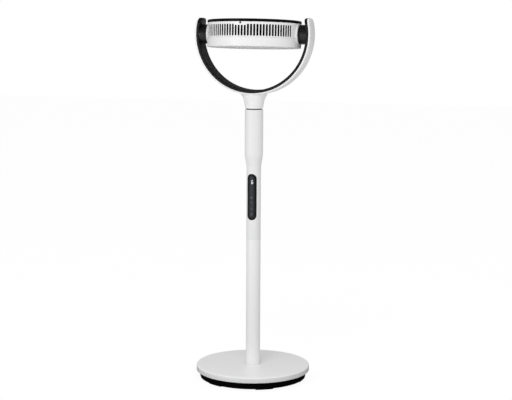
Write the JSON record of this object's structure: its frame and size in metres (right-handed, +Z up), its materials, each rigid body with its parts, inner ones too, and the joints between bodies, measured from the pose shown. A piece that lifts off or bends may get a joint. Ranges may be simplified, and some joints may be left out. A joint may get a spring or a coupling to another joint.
{
  "type": "pedestal air circulator fan",
  "caption": "White pedestal air circulator: round weighted foot, slim post with dark touch panel, black-lined U yoke and a short round fan head that tilts and swivels.",
  "frame": {"origin": "under the middle of the round foot, on the surface it stands on", "axes": "+Z up along the post; -Y is the front, where the touch panel is; the yoke's arms and the tilt axis lie along X"},
  "size_m": [0.311, 0.3, 0.9496],
  "materials": {
    "white_plastic": "satin white moulded plastic",
    "white_gloss": "smooth white moulded plastic",
    "white_paint": "satin white powder coat on steel tube",
    "black_plastic": "fine satin black moulded plastic",
    "rubber": "matt black rubber",
    "cast_iron": "dull grey iron",
    "steel": "plain zinc-plated steel",
    "dark_screw": "black-finished steel",
    "alloy": "plain die-cast and drawn alloy",
    "cable_jacket": "matt black cable jacket",
    "panel_gloss": "smoked gloss plastic",
    "board_green": "green circuit board",
    "display_white": "white display housing",
    "nylon": "natural nylon and acetal",
    "copper": "enamelled copper winding",
    "fan_plastic": "dark grey moulded plastic"
  },
  "bodies": {
    "stand": {"foot_pads": "rubber", "base_pan": "black_plastic", "pan_screws": "steel", "ballast_weight": "cast_iron", "dc_inlet": "black_plastic", "base_plate": "white_plastic", "tube_socket": "alloy", "socket_screws": "steel", "post_tube": "white_paint", "tube_joiner": "alloy", "joiner_screws": "steel", "main_cable": "cable_jacket", "control_column": "white_plastic", "control_panel": "panel_gloss", "circuit_board": "board_green", "digit_display": "display_white", "touch_keys": "steel", "swivel_frame": "black_plastic", "frame_screws": "steel", "swivel_motor": "steel", "swivel_motor_screws": "steel", "swivel_bushes": "nylon", "seam_ring": "black_plastic"},
    "swivel_pinion": {"swivel_pinion": "nylon"},
    "yoke": {"yoke_shell": "white_gloss", "yoke_liner": "black_plastic", "swivel_spindle": "steel", "swivel_gear": "nylon", "spindle_clip": "steel", "spindle_screws": "steel", "left_boss": "black_plastic", "right_boss": "black_plastic", "boss_screws": "steel", "left_bush": "nylon", "tilt_gear": "nylon"},
    "head": {"front_housing": "white_gloss", "rear_housing": "white_gloss", "front_grille": "black_plastic", "grille_cap": "black_plastic", "grille_screw": "dark_screw", "rear_grille": "white_gloss", "housing_screws": "steel", "rear_screws": "steel", "left_trunnion": "black_plastic", "right_trunnion": "black_plastic", "trunnion_screws": "steel", "trunnion_clips": "steel", "tilt_motor": "steel", "tilt_motor_screws": "steel", "air_duct": "black_plastic", "motor_case": "steel", "motor_coils": "copper", "motor_bearings": "steel", "motor_cover": "steel"},
    "tilt_pinion": {"tilt_pinion": "nylon"},
    "fan": {"fan_wheel": "fan_plastic", "motor_shaft": "steel", "motor_rotor": "cast_iron", "fan_nut": "steel"}
  },
  "joints": [
    {"name": "yoke_swivel", "type": "hinge", "parent": "stand", "child": "yoke", "pos_m": [0, 0, 0.715], "axis": [0, 0, 1], "range_deg": [-60, 60]},
    {"name": "head_tilt", "type": "hinge", "parent": "yoke", "child": "head", "pos_m": [0, 0, 0.9071], "axis": [1, 0, 0], "range_deg": [0, 105]},
    {"name": "fan_spin", "type": "hinge", "parent": "head", "child": "fan", "pos_m": [0, 0, 0.9071], "axis": [0, 0.0506, 0.9987], "continuous": true},
    {"name": "swivel_pinion_spin", "type": "hinge", "parent": "stand", "child": "swivel_pinion", "pos_m": [0, 0.0144, 0.67], "axis": [0, 0, 1], "range_deg": [-120, 120]},
    {"name": "tilt_pinion_spin", "type": "hinge", "parent": "head", "child": "tilt_pinion", "pos_m": [0.13, -0.00073, 0.89272], "axis": [1, 0, 0], "range_deg": [0, 210]}
  ],
  "couplings": [
    {"joint": "swivel_pinion_spin", "follows": "yoke_swivel", "ratio": -2},
    {"joint": "tilt_pinion_spin", "follows": "head_tilt", "ratio": 2}
  ]
}
